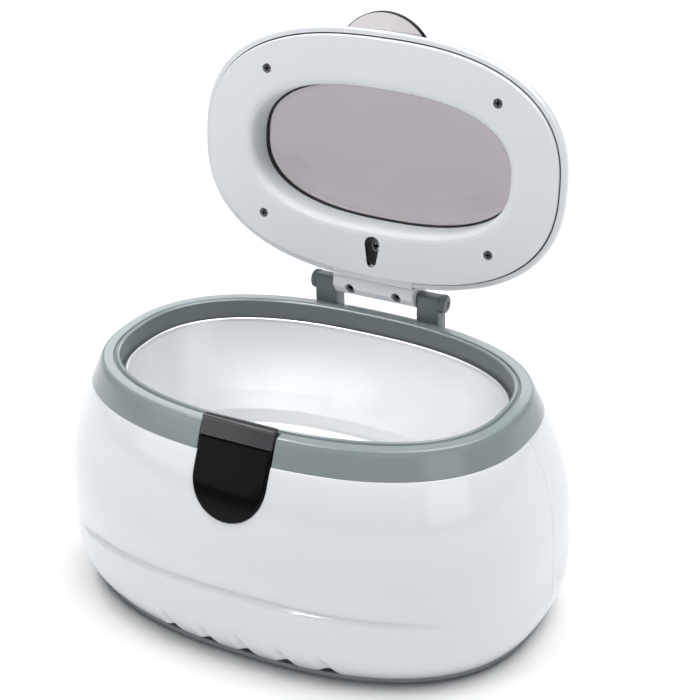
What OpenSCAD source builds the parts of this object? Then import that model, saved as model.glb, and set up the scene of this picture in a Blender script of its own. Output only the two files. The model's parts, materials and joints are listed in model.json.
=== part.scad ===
// Table-top ultrasonic cleaner with an oval tank and a hinged lid, shown with the lid open.
// Millimetres. +X is the right side, -Y the front, +Z up. The origin is under the middle, on the table.

/* [Body] */
// Half length of the oval seam between housing and trim ring
seam_a = 91.5; // [90:0.5:93]
// Half depth of the oval seam between housing and trim ring
seam_b = 60.5; // [59.5:0.5:61.5]
// Height of that seam above the table
seam_z = 87; // [86.5:0.5:88]
// How far the housing bulges out beyond the seam
bulge_d = 11; // [9:0.5:12]
// Height at which the housing is widest
bulge_z = 35; // [33:1:38]
// Wall of the housing
wall = 2.4; // [2:0.1:2.6]
// Depth of the curved recess low on the front
scoop_d = 1.4; // [0.8:0.1:1.8]
// Spacing of the five vent notches in the front bottom edge
vent_pitch = 16.8; // [15:0.2:17.4]

/* [Tank] */
// Height of the inside bottom of the tank
tank_floor_z = 40; // [38:0.5:44]
// Sheet thickness of the tank
sheet = 0.7; // [0.6:0.1:0.9]

/* [Lid] */
// Half length of the lid's rim
lid_a = 80; // [79:0.5:80.5]
// Half depth of the lid's rim
lid_b = 51; // [50.5:0.5:51]
// Distance from the hinge axis to the middle of the lid
lid_reach = 56.9; // [56.7:0.1:57.2]
// How far the lid is opened
lid_open = 97; // [0:1:97]

/* [Hinge] */
// Distance of the hinge axis behind the middle
hinge_y = 56.7; // [56.5:0.1:57]
// Height of the hinge axis
hinge_z = 105.3; // [105:0.1:106]
// Radius of the hinge pins
pin_r = 2; // [1.8:0.1:2.2]
// Radial clearance of the pins in the turning barrel
pin_play = 0.06; // [0.03:0.01:0.1]

/* [Front panel] */
// Half width of the front panel
panel_w = 15.4; // [15:0.1:15.8]
// Height of the lowest point of the front panel
panel_bottom = 64.5; // [64:0.5:66]
// Travel of the power button
button_travel = 0.8; // [0.5:0.1:0.8]

/* [Hidden] */

$fn = 48;
fit = 0.02;              // radial room of a part that stays in its bore
seg = 64;                // points round each oval
body_power = 2.4;        // roundness of the body's ovals, 2 would be an ellipse
lid_power = 2.5;         // roundness of the lid's ovals

shell_z = 3.5;           // lower edge of the housing
base_z = 1.4;            // underside of the base plate
foot_tuck = 0.71;        // share of the bulge that is lost at the lower edge
top_power = 2.6;         // how late the bulge runs out towards the seam
low_power = 3.4;         // how late the bulge runs out towards the lower edge

ledge_z = seam_z - 0.6;  // top of the housing's inner ledge, where the tank hangs
ledge_t = 2;             // thickness of that ledge
ledge_in = 12.6;         // inset of the ledge's inner edge from the seam

trim_top = 10;           // height of the trim ring above the seam
cone_in = 4.4;           // inset of the trim's cone over its height
cone_h = 9.6;            // height of the trim's cone
tilt = atan(cone_in / cone_h);

tank_flange_z = ledge_z; // underside of the tank's flange
board_z = 9;             // underside of the main board
board_t = 1.6;           // thickness of the main board
parts_z = board_z + board_t;

foot_at = [62, 34];      // feet, to each side of the middle
base_screw_at = [80, 22];
board_screw_at = [47, 22];
trim_screw_at = [[85.3, 0], [-85.3, 0], [44, 49.4], [-44, 49.4], [44, -49.4], [-44, -49.4]];
lid_screw_at = [50.6, 30.1];
barrel_screw_x = 10.6;
barrel_screw_y = 56.2;
barrel_w = 18.2;         // half width of the hinge barrel
post_in = 18.5;          // inner face of a hinge post
post_out = 28.1;         // outer face of a hinge post
barrel_r = 3.9;
liner_drop = 8.9;        // the liner's face is this far under the hinge axis when the lid is shut
barrel_top = 12.8;       // upper side of the barrel above the liner's face
led_s = 4.2;             // place of the indicator lamp up the front slope
gland_z = 18;
gland_y = 69.4;          // seat of the cord gland at the back

// Points of an oval |x/a|^n + |y/b|^n = 1 at height z.
function oval(a, b, n, z = 0) = [for (i = [0 : seg - 1])
    let (t = 360 * i / seg, r = pow(pow(abs(cos(t)) / a, n) + pow(abs(sin(t)) / b, n), -1 / n))
    [r * cos(t), r * sin(t), z]];

function flat(points) = [for (p = points) [p[0], p[1]]];

// How far the housing stands out beyond the seam at height z.
function bulge(z) = z < bulge_z
    ? bulge_d * (1 - foot_tuck * pow((bulge_z - z) / (bulge_z - shell_z), low_power))
    : bulge_d * (1 - pow(min(1, (z - bulge_z) / (seam_z - bulge_z)), top_power));

// Depth of the front recess at place (x, z): full in the middle, running out at both ends.
function scoop(x, y, z) = y > 0 ? 0
    : scoop_d * pow(max(0, 1 - pow(abs(x) / 84, 3)), 1) * scoop_band(z);
function scoop_band(z) = z < 33.5 || z > 51 ? 0
    : z < 36 ? (z - 33.5) / 2.5
    : pow((51 - z) / 15, 1.5);

// Solid or ring from a stack of point rings. closed joins the last ring to the first.
module skin(rings, closed = false) {
    n = len(rings[0]);
    m = len(rings);
    side = [for (i = [0 : (closed ? m - 1 : m - 2)], j = [0 : n - 1])
        let (k = (i + 1) % m, q = (j + 1) % n)
        each [[i * n + j, k * n + j, k * n + q], [i * n + j, k * n + q, i * n + q]]];
    caps = closed ? [] : [[for (j = [0 : n - 1]) j], [for (j = [n - 1 : -1 : 0]) (m - 1) * n + j]];
    polyhedron(points = [for (r = rings) each r], faces = concat(side, caps), convexity = 8);
}

// Rings of the body, given as [inset from the seam oval, height].
function body_rings(profile) = [for (p = profile) oval(seam_a - p[0], seam_b - p[0], body_power, p[1])];
// Rings of the lid, given as [inset from the lid's rim, height above the liner's face].
function lid_rings(profile) = [for (p = profile) oval(lid_a - p[0], lid_b - p[0], lid_power, p[1])];

// Copies at the four places (+-x, +-y).
module four(at) {
    for (x = [-at[0], at[0]], y = [-at[1], at[1]]) translate([x, y, 0]) children();
}

// Round tube along hand-chosen points, eight sides.
module wire(route, r) {
    last = len(route) - 1;
    function unit(v) = v / norm(v);
    rings = [for (i = [0 : last])
        let (t = unit(route[min(i + 1, last)] - route[max(i - 1, 0)]),
            u = unit(cross(t, [0.9, 0.1, 0.42])),
            v = cross(t, u))
        [for (k = [0 : 7]) route[i] + r * (cos(45 * k) * u + sin(45 * k) * v)]];
    skin(rings);
}

// Cross-head screw pointing down, its head's top at z = 0.
module screw(head_r, head_h, shank_r, length) {
    difference() {
        union() {
            translate([0, 0, -head_h]) cylinder(r = head_r, h = head_h);
            translate([0, 0, -length]) cylinder(r = shank_r, h = length - head_h + 0.1);
        }
        for (turn = [0, 90]) rotate([0, 0, turn])
            translate([-head_r * 0.6, -head_r * 0.14, -head_h * 0.5])
                cube([head_r * 1.2, head_r * 0.28, head_h]);
    }
}

// Point of the front face's side view: s up the trim's slope from the seam, w out of the face.
function front(s, w) = [-seam_b + s * sin(tilt) - w * cos(tilt), seam_z + s * cos(tilt) + w * sin(tilt)];

// Local frame on the trim's front slope: X across, Y up the slope, Z out of the face.
module on_front() {
    translate([0, -seam_b, seam_z]) rotate([90 - tilt, 0, 0]) children();
}

// Side view of points [y, z], stretched along X to both sides of the middle.
module side_bar(points, half) {
    rotate([90, 0, 90]) translate([0, 0, -half]) linear_extrude(2 * half) polygon(points);
}

// U-shaped outline of the front panel, grown by g, as a bar along Y between y0 and y1.
module tongue_bar(g, y0, y1) {
    r = panel_w + g;
    mid = panel_bottom + panel_w;
    translate([0, y1, 0]) rotate([90, 0, 0]) linear_extrude(y1 - y0) union() {
        translate([0, mid]) circle(r = r);
        translate([-r, mid]) square([2 * r, 120 - mid]);
    }
}

// ---- body ----

module housing_shell() color("white") difference() {
    union() {
        outer_z = [3.5, 8, 13, 20, 28, 33.5, 36, 43, 51, 59, 67, 74, 80.5, seam_z];
        inner_z = [ledge_z - ledge_t, 78, 70, 60, 48, 36, 24, 15, 8, 3.5];
        outer = [for (z = outer_z) [for (p = oval(seam_a + bulge(z), seam_b + bulge(z), body_power, z))
            [p[0], p[1] + scoop(p[0], p[1], z), z]]];
        top = body_rings([[1.8, seam_z], [1.8, ledge_z], [ledge_in, ledge_z], [ledge_in, ledge_z - ledge_t]]);
        inner = body_rings([for (z = inner_z) [wall + scoop_band(z) * scoop_d - bulge(z), z]]);
        skin(concat(outer, top, inner), closed = true);
        four(base_screw_at) translate([0, 0, shell_z + 0.1]) cylinder(r = 3.6, h = 18.4);
        for (sx = [-1, 1], y = [-base_screw_at[1], base_screw_at[1]])
            translate([0, y + 1, 0]) rotate([90, 0, 0]) linear_extrude(2)
                polygon([[sx * 82, 9.5], [sx * 94, 9.5], [sx * 97.4, 22], [sx * 82, 22]]);
    }
    four(base_screw_at) translate([0, 0, shell_z - 1]) cylinder(r = 1.4 + fit, h = 16);
    tongue_cut();
    for (i = [-2 : 2]) vent_notch(3 + i * vent_pitch);
    for (p = trim_screw_at) translate([p[0], p[1], 80]) cylinder(r = 1.4 + fit, h = 10);
    translate([-6, -55.2, 80]) cylinder(r = 2.8, h = 10);
    translate([0, 80, gland_z]) rotate([90, 0, 0]) cylinder(r = 6.7, h = 80 - gland_y);
    translate([0, 80, gland_z]) rotate([90, 0, 0]) cylinder(r = 4.7, h = 20);
}

// Opening for the front panel in the housing wall.
module tongue_cut() {
    intersection() {
        tongue_bar(0.2, -90, -57);
        translate([-40, -90, 0]) cube([80, 90, seam_z + 5]);
    }
}

// Vent notch in the lower edge, below a slanting groove that fades out upwards.
module vent_notch(x) {
    translate([x, -50, 0]) rotate([90, 0, 0]) linear_extrude(25)
        polygon([[-4.8, 3], [-4.2, 4], [0.8, 6.6], [2.4, 6.6], [4.8, 3]]);
    translate([x + 0.8, -67.5, shell_z]) rotate([30, 0, 0]) rotate([0, -13, 0])
        translate([0, 0, -5]) cylinder(r = 4, h = 22);
}

module base_plate() color("slategray") difference() {
    union() {
        translate([0, 0, base_z]) linear_extrude(shell_z - base_z)
            polygon(flat(oval(seam_a + 2.9, seam_b + 2.9, body_power)));
        translate([0, 0, shell_z - 0.5]) linear_extrude(6) difference() {
            polygon(flat(oval(seam_a + 0.5, seam_b + 0.5, body_power)));
            polygon(flat(oval(seam_a - 1.1, seam_b - 1.1, body_power)));
        }
        four(board_screw_at) translate([0, 0, base_z]) cylinder(r = 3, h = board_z - base_z);
    }
    four(base_screw_at) {
        translate([0, 0, -1]) cylinder(r = 1.4 + fit, h = 10);
        translate([0, 0, -1]) cylinder(r = 3, h = base_z + 2);
    }
    four(foot_at) translate([0, 0, -1]) cylinder(r = 2, h = 10);
    four(board_screw_at) translate([0, 0, 4]) cylinder(r = 1.2 + fit, h = 10);
    for (x = [-32 : 8 : 32]) translate([x - 1.5, -10, 0]) cube([3, 20, 10]);
}

// Foot with a stem that plugs into the base plate.
module foot() color("dimgray") {
    cylinder(r = 6.5, h = base_z);
    translate([0, 0, base_z - 0.4]) cylinder(r = 2 - fit, h = 2.4);
}
module rubber_foot_front_left() translate([-foot_at[0], -foot_at[1], 0]) foot();
module rubber_foot_front_right() translate([foot_at[0], -foot_at[1], 0]) foot();
module rubber_foot_rear_left() translate([-foot_at[0], foot_at[1], 0]) foot();
module rubber_foot_rear_right() translate([foot_at[0], foot_at[1], 0]) foot();

module base_screws() color("silver")
    four(base_screw_at) translate([0, 0, base_z + 0.1]) rotate([180, 0, 0]) screw(2.7, 0.9, 1.4, 12);

module trim_ring() color("slategray") difference() {
    union() {
        top = seam_z + trim_top;
        skin(body_rings([[0, seam_z], [3.5, seam_z + 8.1], [4.4, seam_z + 9.6], [5.5, top], [9.1, top - 0.1],
            [9.6, top - 0.7], [9.9, top + 0.2], [10.6, top + 0.5], [11.3, top], [11.8, seam_z + 1.3],
            [9.4, seam_z + 1.3], [9.2, seam_z + 7.6], [6, seam_z + 7.6], [2.6, seam_z]]), closed = true);
        for (p = trim_screw_at) translate([p[0], p[1], ledge_z]) cylinder(r = 2.6, h = 9);
        for (side = [-1, 1]) translate([side * (post_in + post_out) / 2, 0, 0]) hinge_post();
    }
    translate([-panel_w - 0.2, -70, seam_z - 1]) cube([2 * panel_w + 0.4, 70 - 51.5, 20]);
    for (p = trim_screw_at) translate([p[0], p[1], ledge_z - 1]) cylinder(r = 1.4 + fit, h = 7.5);
    translate([-40, hinge_y, hinge_z]) rotate([0, 90, 0]) cylinder(r = pin_r + fit, h = 80);
}

// Upright post for the hinge pin, square in front and round behind at the top.
module hinge_post() {
    half = (post_out - post_in) / 2;
    side_bar([[53, 93], [55.4, 89.5], [58.4, 89.5], [60.4, 94], [60.4, hinge_z], [hinge_y, hinge_z + 3.7],
        [53.9, hinge_z + 3.7], [53, hinge_z + 2.8]], half);
    translate([-half, hinge_y, hinge_z]) rotate([0, 90, 0]) cylinder(r = 3.7, h = 2 * half);
}

module trim_screws() color("silver")
    for (p = trim_screw_at) translate([p[0], p[1], ledge_z - ledge_t - 1.4]) rotate([180, 0, 0])
        screw(2.5, 1.4, 1.4, 9);

module tank_gasket() color("whitesmoke") {
    low = tank_flange_z + sheet;
    skin(body_rings([[9.5, low], [9.5, seam_z + 1.3], [11.7, seam_z + 1.3], [11.7, low]]), closed = true);
}

module tank() color("gainsboro") {
    f = tank_flange_z;
    b = tank_floor_z;
    skin(body_rings([[31, b - sheet], [24.1, b + 0.7], [19.9, b + 4.6], [17.9, b + 10], [16.5, b + 18],
        [14.8, 76], [13.5, f], [8.8, f], [8.8, f + sheet], [12, f + sheet], [12.2, f + 2.5], [12.7, f + 3.4],
        [13.3, f + 3.7], [13.8, f + 3.4], [14.1, f + 2.6], [15.5, 76], [17.2, b + 18], [18.6, b + 10],
        [20.5, b + 5], [24.5, b + 1.4], [31, b]]));
}

module piezo_bond() color("goldenrod")
    translate([0, 0, tank_floor_z - sheet - 0.4]) cylinder(r = 17, h = 0.4);

module piezo_disc() color("silver")
    translate([0, 0, tank_floor_z - sheet - 3]) cylinder(r = 17.5, h = 2.6);

module piezo_leads() color("firebrick") {
    z = tank_floor_z - sheet - 3;
    wire([[-8, -4, z], [-8, -4, z - 2], [-14, -6, z - 4], [-30, -9, 30], [-43, -11, 26], [-46, -11, 21.6]], 0.6);
    wire([[-8, 4, z], [-8, 4, z - 2], [-14, 1, z - 3.4], [-30, -3, 31], [-43, -6, 27], [-46, -7, 21.6]], 0.6);
}

// ---- front panel and button ----

module front_panel() color("black") {
    low_z = [for (z = [62 : 3 : 86]) z];
    difference() {
        intersection() {
            side_bar(concat(
                [for (z = low_z) [-(seam_b + bulge(z) + 0.82), z]],
                [front(0, 0.75), front(5.75, 0.75), front(5.75, -1.9), front(0, -1.9)],
                [for (i = [len(low_z) - 1 : -1 : 0]) [-(seam_b + bulge(low_z[i]) - 3.2), low_z[i]]]), 30);
            tongue_bar(0, -90, -40);
        }
        on_front() translate([9, led_s, -3]) cylinder(r = 1.25, h = 2.4);
    }
    intersection() {
        side_bar(concat(
            [for (z = [61 : 3 : 82]) [-(seam_b + bulge(z) - 3), z]],
            [for (z = [82 : -3 : 61]) [-(seam_b + bulge(z) - 4), z]]), 30);
        tongue_bar(1.6, -90, -40);
    }
}

// Button bar: slanted front face that turns over the top of the trim ring.
module power_button() color("dimgray")
    side_bar([front(6.1, 0.75), front(12.1, 0.75), [-55.7, 99.1], [-55, 99.5], [-52.8, 99.5], [-52.4, 99.1],
        [-52.4, 98], front(11.2, -1.6), front(6.1, -1.6)], panel_w - 0.2);

module switch_plunger() color("black")
    on_front() translate([0, 7.6, -3]) cylinder(r = 0.9, h = 1.4);

module tact_switch() color("gray")
    on_front() difference() {
        translate([-3, 5.8, -4.5]) cube([6, 3.6, 1.7]);
        translate([0, 7.6, -3.4 - button_travel]) cylinder(r = 1.2, h = 3);
    }

module button_board() color("darkgreen")
    on_front() translate([-12, 3, -5.3]) cube([24, 6.4, 0.8]);

module indicator_led() color("deepskyblue")
    on_front() translate([9, led_s, -4.5]) {
        cylinder(r = 1, h = 2);
        translate([0, 0, 2]) sphere(r = 1);
    }

module panel_leads() color("gold") {
    route = [[0, -53.8, 88.75], [0, -52.9, 88.2], [0, -53.7, 86.2], [0, -54.8, 83], [0, -53, 60], [0, -45, 36], [0, -33, 24],
        [0, -25.5, 18], [0, -24.8, 15.2]];
    for (x = [-7, -5.2]) wire([for (p = route) p + [x - (p[2] < 30 ? 10 : 0), 0, 0]], 0.5);
}

// ---- electronics ----

module main_board() color("forestgreen") difference() {
    translate([-52, -27, board_z]) cube([104, 54, board_t]);
    four(board_screw_at) translate([0, 0, board_z - 1]) cylinder(r = 1.2 + fit, h = 5);
}

module board_screws() color("silver")
    four(board_screw_at) translate([0, 0, parts_z + 1.4]) screw(2.3, 1.4, 1.2, 8);

module transformer_core() color("dimgray") translate([16, -7, parts_z]) difference() {
    cube([28, 22, 22]);
    for (x = [4, 17]) translate([x, -1, 4]) cube([7, 24, 14]);
}

module transformer_coil() color("goldenrod") translate([16, -7, parts_z]) difference() {
    translate([4.3, -2.5, 4.3]) cube([19.4, 27, 13.4]);
    translate([10.7, -0.3, 0]) cube([6.6, 22.6, 22]);
}

module resonance_inductor() color("peru") translate([0, 14, parts_z]) {
    cylinder(r = 7.5, h = 1.6);
    translate([0, 0, 1.6]) cylinder(r = 6.4, h = 10);
    translate([0, 0, 11.6]) cylinder(r = 7.5, h = 1.6);
}

module mains_capacitor() color("midnightblue") translate([-22, 16, parts_z]) difference() {
    cylinder(r = 7.5, h = 21);
    for (turn = [0, 90]) rotate([0, 0, turn]) translate([-5, -0.3, 20.6]) cube([10, 0.6, 1]);
}

module film_capacitors() color("gold")
    for (y = [-23, -13]) translate([-10, y, parts_z]) cube([17, 6, 12]);

module heat_sink() color("silver") translate([12, -25, parts_z]) {
    translate([0, 8, 0]) cube([30, 3, 20]);
    for (x = [0 : 4 : 28]) translate([x, 0, 0]) cube([1.5, 8.1, 20]);
}

module power_transistors() color("black")
    for (x = [15, 29]) translate([x, -14, parts_z]) {
        translate([0, 0, 4]) cube([10, 4.4, 9]);
        translate([0, 0, 12.9]) cube([10, 1.3, 6]);
        for (leg = [1.6, 4.6, 7.6]) translate([leg, 1.6, 0]) cube([0.8, 0.6, 4.1]);
    }

module mains_fuse() color("lightsteelblue") translate([-40, 4, parts_z + 4]) {
    rotate([-90, 0, 0]) cylinder(r = 2.5, h = 18);
    for (y = [1, 13]) translate([-3, y, -4]) cube([6, 4, 3]);
}

module bridge_rectifier() color("black") translate([-36, -6, parts_z]) {
    translate([0, 0, 3]) cube([14, 4, 10]);
    for (x = [1, 5, 9, 12]) translate([x, 1.6, 0]) cube([0.8, 0.8, 3.1]);
}

module control_chip() color("black") translate([-36, -22, parts_z]) {
    translate([0, 1.2, 0.6]) cube([10, 6.4, 3.2]);
    for (x = [0.7 : 2.54 : 9], y = [0.6, 7.4]) translate([x, y, 0]) cube([0.6, 0.8, 2.4]);
}

module terminal_block() color("seagreen") translate([-50, -16, parts_z]) difference() {
    cube([8, 14, 11]);
    for (y = [3.5, 10.5]) translate([4, y, 6]) cylinder(r = 2, h = 6);
}

module cord_gland() color("dimgray") translate([0, 0, gland_z]) rotate([-90, 0, 0]) difference() {
    union() {
        translate([0, 0, gland_y]) cylinder(r = 6.5, h = 2.2);
        translate([0, 0, 65]) cylinder(r = 4.7 - fit, h = 6);
        translate([0, 0, 63.4]) cylinder(r = 6.2, h = 2.4);
    }
    translate([0, 0, 60]) cylinder(r = 3, h = 20);
}

// ---- hinge ----

// Pin with a round head on the post's outer face, pointing to +X.
module hinge_pin() color("slategray") translate([0, hinge_y, hinge_z]) rotate([0, 90, 0]) {
    translate([0, 0, 12.8]) cylinder(r = pin_r, h = post_out - 12.7);
    translate([0, 0, post_out]) cylinder(r = 3.9, h = 1.8);
    translate([0, 0, post_out + 1.8]) cylinder(r1 = 3.9, r2 = 3, h = 0.8);
}
module hinge_pin_right() hinge_pin();
module hinge_pin_left() mirror([1, 0, 0]) hinge_pin();

// Everything on the lid is drawn shut, from the middle of the liner's face, and then opened.
module in_lid() {
    translate([0, hinge_y, hinge_z]) rotate([-lid_open, 0, 0]) translate([0, -lid_reach, -liner_drop])
        children();
}

module hinge_barrel() color("white") in_lid() difference() {
    rotate([90, 0, 90]) translate([0, 0, -barrel_w]) linear_extrude(2 * barrel_w) hull() {
        translate([51.2, 1.8]) square([1, barrel_top - 1.8]);
        translate([54, 3.3]) circle(r = 1.5);
        translate([56.2, 5.3]) circle(r = 2.5);
        translate([lid_reach, liner_drop]) circle(r = barrel_r);
    }
    for (side = [0, 180]) translate([0, lid_reach, liner_drop]) rotate([0, 90, side])
        translate([0, 0, 12.4]) cylinder(r = pin_r + pin_play, h = 10);
    for (x = [-barrel_screw_x, barrel_screw_x]) translate([x, barrel_screw_y, 0]) {
        cylinder(r = 1.1 + fit, h = 20);
        cylinder(r = 2, h = 5.2);
    }
}

module barrel_screws() color("dimgray") in_lid()
    for (x = [-barrel_screw_x, barrel_screw_x]) translate([x, barrel_screw_y, 3.8]) rotate([180, 0, 0])
        screw(1.9, 1.4, 1.1, 11);

// ---- lid ----

module lid_shell() color("white") in_lid() difference() {
    union() {
        skin(lid_rings([[0.6, 1.5], [0, 2.4], [0.2, 4.6], [1.2, 7.6], [3.4, 11], [7, 13.8], [12, 15.2],
            [18, 15.9], [21.4, 15.9], [22, 15.4], [22, 14.5], [18.6, 14.4], [12, 13.4], [7.6, 11.9],
            [4.6, 9.3], [3, 6.5], [2.2, 3.5], [2.2, 1.5]]), closed = true);
        translate([-18, 43, barrel_top]) cube([36, 17.6, 2.6]);
        four(lid_screw_at) translate([0, 0, 2]) cylinder(r = 3, h = 12.4);
        translate([0, 36.5, 5.5]) cylinder(r = 3, h = 8.9);
    }
    four(lid_screw_at) translate([0, 0, 1]) cylinder(r = 1.2 + fit, h = 10);
    translate([0, 36.5, 5]) cylinder(r = 1.2 + fit, h = 7);
    for (x = [-barrel_screw_x, barrel_screw_x]) translate([x, barrel_screw_y, 10]) cylinder(r = 1.1 + fit, h = 4.9);
    translate([-18.9, -54, 3.4]) cube([37.8, 11, 2.6]);
    translate([-18.2, 46, 0]) cube([36.4, 6, 2.5]);
}

module lid_liner() color("ghostwhite") in_lid() difference() {
    union() {
        skin(lid_rings([[2.8, 0.4], [2.8, 2], [20, 2], [21.2, 3.2], [21.7, 11.3], [23.3, 11.3], [22.9, 3],
            [22.2, 1.2], [20.8, 0.2], [19.6, 0], [3.1, 0]]), closed = true);
        translate([-18, 44, 1.3]) cube([36, 6.9, 1.1]);
    }
    four(lid_screw_at) {
        translate([0, 0, -1]) cylinder(r = 1.2 + fit, h = 5);
        translate([0, 0, -1]) cylinder(r = 2, h = 1.9);
    }
    teardrop_cut();
}

// Opening shaped like a drop, wide towards the window.
module teardrop_cut() {
    translate([0, 0, -1]) linear_extrude(4) union() {
        translate([0, 34.9]) circle(r = 3.4);
        translate([0, 42.3]) circle(r = 2.1);
        polygon([[-3.4, 35.2], [3.4, 35.2], [2.1, 42.5], [-2.1, 42.5]]);
    }
}

module lid_window() color([0.55, 0.5, 0.52, 0.7]) in_lid()
    skin(lid_rings([[46, 16.4], [34, 15.9], [26, 14.9], [23.9, 14.1], [23.7, 12.5], [19.2, 12.5], [19.2, 14.2],
        [22.3, 14.3], [22.5, 15.8], [26, 16.8], [34, 17.8], [46, 18.3]]));

module window_seal() color("black") in_lid()
    skin(lid_rings([[19.6, 11.3], [19.6, 12.5], [24.1, 12.5], [24.1, 11.3]]), closed = true);

// Smoked finger tab held in a slot of the lid's front rim.
module lift_tab() color([0.5, 0.45, 0.47, 0.7]) in_lid() intersection() {
    translate([0, -36.6, 3.5]) cylinder(r = 21.7, h = 2.4, $fn = 96);
    translate([-30, -70, 0]) cube([60, 70 - 46, 10]);
}

module lid_screws() color("dimgray") in_lid()
    four(lid_screw_at) translate([0, 0, 0.1]) rotate([180, 0, 0]) screw(1.9, 0.8, 1.2, 9);

module centre_screw() color("silver") in_lid()
    translate([0, 36.5, 4.1]) rotate([180, 0, 0]) screw(1.9, 1.4, 1.2, 7);

housing_shell();
base_plate();
rubber_foot_front_left();
rubber_foot_front_right();
rubber_foot_rear_left();
rubber_foot_rear_right();
base_screws();
trim_ring();
trim_screws();
tank_gasket();
tank();
piezo_bond();
piezo_disc();
piezo_leads();
front_panel();
power_button();
switch_plunger();
tact_switch();
button_board();
indicator_led();
panel_leads();
main_board();
board_screws();
transformer_core();
transformer_coil();
resonance_inductor();
mains_capacitor();
film_capacitors();
heat_sink();
power_transistors();
mains_fuse();
bridge_rectifier();
control_chip();
terminal_block();
cord_gland();
hinge_pin_left();
hinge_pin_right();
hinge_barrel();
barrel_screws();
lid_shell();
lid_liner();
lid_window();
window_seal();
lift_tab();
lid_screws();
centre_screw();
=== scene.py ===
"""Looks of a table-top ultrasonic cleaner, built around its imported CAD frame.

Blender's unit is the metre. Shapes are written in millimetres and scaled when a mesh is made.
+X is the right side, -Y the front, +Z up, and the origin is on the table under the middle.
"""

import json
import math

import bmesh
import bpy
from mathutils import Matrix, Vector


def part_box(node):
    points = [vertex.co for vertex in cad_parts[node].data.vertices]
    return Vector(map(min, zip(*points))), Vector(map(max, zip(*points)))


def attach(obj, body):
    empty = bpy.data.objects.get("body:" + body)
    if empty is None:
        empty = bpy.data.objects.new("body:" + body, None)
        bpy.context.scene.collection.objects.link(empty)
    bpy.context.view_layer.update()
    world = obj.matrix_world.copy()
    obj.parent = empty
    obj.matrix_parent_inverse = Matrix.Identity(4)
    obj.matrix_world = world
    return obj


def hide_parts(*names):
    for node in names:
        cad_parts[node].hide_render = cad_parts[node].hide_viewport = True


MM = 0.001
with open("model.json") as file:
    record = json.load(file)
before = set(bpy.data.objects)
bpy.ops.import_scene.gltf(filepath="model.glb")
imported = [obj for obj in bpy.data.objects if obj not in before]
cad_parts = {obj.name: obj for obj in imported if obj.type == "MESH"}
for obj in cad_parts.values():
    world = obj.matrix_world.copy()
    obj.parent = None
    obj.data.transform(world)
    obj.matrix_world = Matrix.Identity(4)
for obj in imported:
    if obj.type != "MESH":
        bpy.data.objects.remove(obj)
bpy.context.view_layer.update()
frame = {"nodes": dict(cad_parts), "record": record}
joints = {j["name"]: j for j in frame["record"]["behaviour"]["joints"]}


def box_mm(node):
    low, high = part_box(node)
    return low / MM, high / MM


# ---- sizes, taken from the frame where it has them ----

trim_low, trim_high = box_mm("trim_ring")
shell_low, shell_high = box_mm("housing_shell")
plate_low, _ = box_mm("base_plate")
panel_low, _ = box_mm("front_panel")
_, button_high = box_mm("power_button")
_, lid_high = box_mm("lid_shell")
gland_low, gland_high = box_mm("cord_gland")

SEAM_A, SEAM_B, SEAM_Z = trim_high.x, -trim_low.y, shell_high.z
BULGE = shell_high.x - SEAM_A
BULGE_Z = 35.0
SHELL_Z = shell_low.z
WALL = 2.4
BODY_POWER = 2.4
LID_A, LID_B, LID_POWER = lid_high.x, 51.0, 2.5
TILT = math.atan(4.4 / 9.6)
PANEL_W = 15.4
HINGE = Vector(joints["lid_hinge"]["pos_m"]) / MM
LID_ANGLE = math.radians(joints["lid_hinge"]["range_deg"][1])
LID_REACH, LINER_DROP = 56.9, 8.9
LID = (
    Matrix.Translation(HINGE)
    @ Matrix.Rotation(-LID_ANGLE, 4, "X")
    @ Matrix.Translation((0, -LID_REACH, -LINER_DROP))
)
LID_SCREW_AT = (50.6, 30.1)
BARREL_SCREW_X, BARREL_SCREW_Y = 10.6, 56.2
CENTRE_SCREW_Y = 36.5
BASE_SCREW_AT = (80, 22)
FOOT_AT = (62, 34)
POST_IN, POST_OUT = 18.5, 28.1
TANK_FLOOR_Z, SHEET = 40.0, 0.7
LEDGE_DROP = 0.6  # the ledge that carries the tank lies this far under the seam
SENSOR_WIDTH = 36.0
SUN_ENERGY, SUN_ANGLE, SUN_DIRECTION = 2.37, 46, (0.26, 0.16, 1)
FLOOR_REACH = 30.0
SIGNS = (-1, 1)


# ---- camera, light and floor ----

VIEW_AZIMUTH, VIEW_ELEVATION, VIEW_ROLL = 28.87, 26.87, -1.36
VIEW_DISTANCE, VIEW_LENS = 0.743, 96.1
VIEW_RIGHT_SHIFT, VIEW_UP_SHIFT, VIEW_AIM_Z = 0.0146, 0.0419, 0.0566


def make_camera():
    az, el, roll = (math.radians(v) for v in (VIEW_AZIMUTH, VIEW_ELEVATION, VIEW_ROLL))
    back = Vector((math.sin(az) * math.cos(el), -math.cos(az) * math.cos(el), math.sin(el)))
    right = Vector((math.cos(az), math.sin(az), 0))
    up = back.cross(right)
    place = Vector((0, 0, VIEW_AIM_Z)) + right * VIEW_RIGHT_SHIFT + up * VIEW_UP_SHIFT
    place += back * VIEW_DISTANCE
    turned_right = right * math.cos(roll) + up * math.sin(roll)
    turned_up = up * math.cos(roll) - right * math.sin(roll)
    axes = Matrix((turned_right, turned_up, back)).transposed()
    camera = bpy.data.objects.new("camera", bpy.data.cameras.new("camera"))
    camera.data.lens = VIEW_LENS
    camera.data.sensor_width = SENSOR_WIDTH
    camera.matrix_world = Matrix.Translation(place) @ axes.to_4x4()
    bpy.context.collection.objects.link(camera)
    bpy.context.scene.camera = camera


def softbox(name, place, aim, size, power):
    data = bpy.data.lights.new(name, "AREA")
    data.shape = "RECTANGLE"
    data.size, data.size_y = size
    data.energy = power
    lamp = bpy.data.objects.new(name, data)
    lamp.location = place
    lamp.rotation_euler = (Vector(aim) - Vector(place)).to_track_quat("-Z", "Y").to_euler()
    bpy.context.collection.objects.link(lamp)


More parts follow.
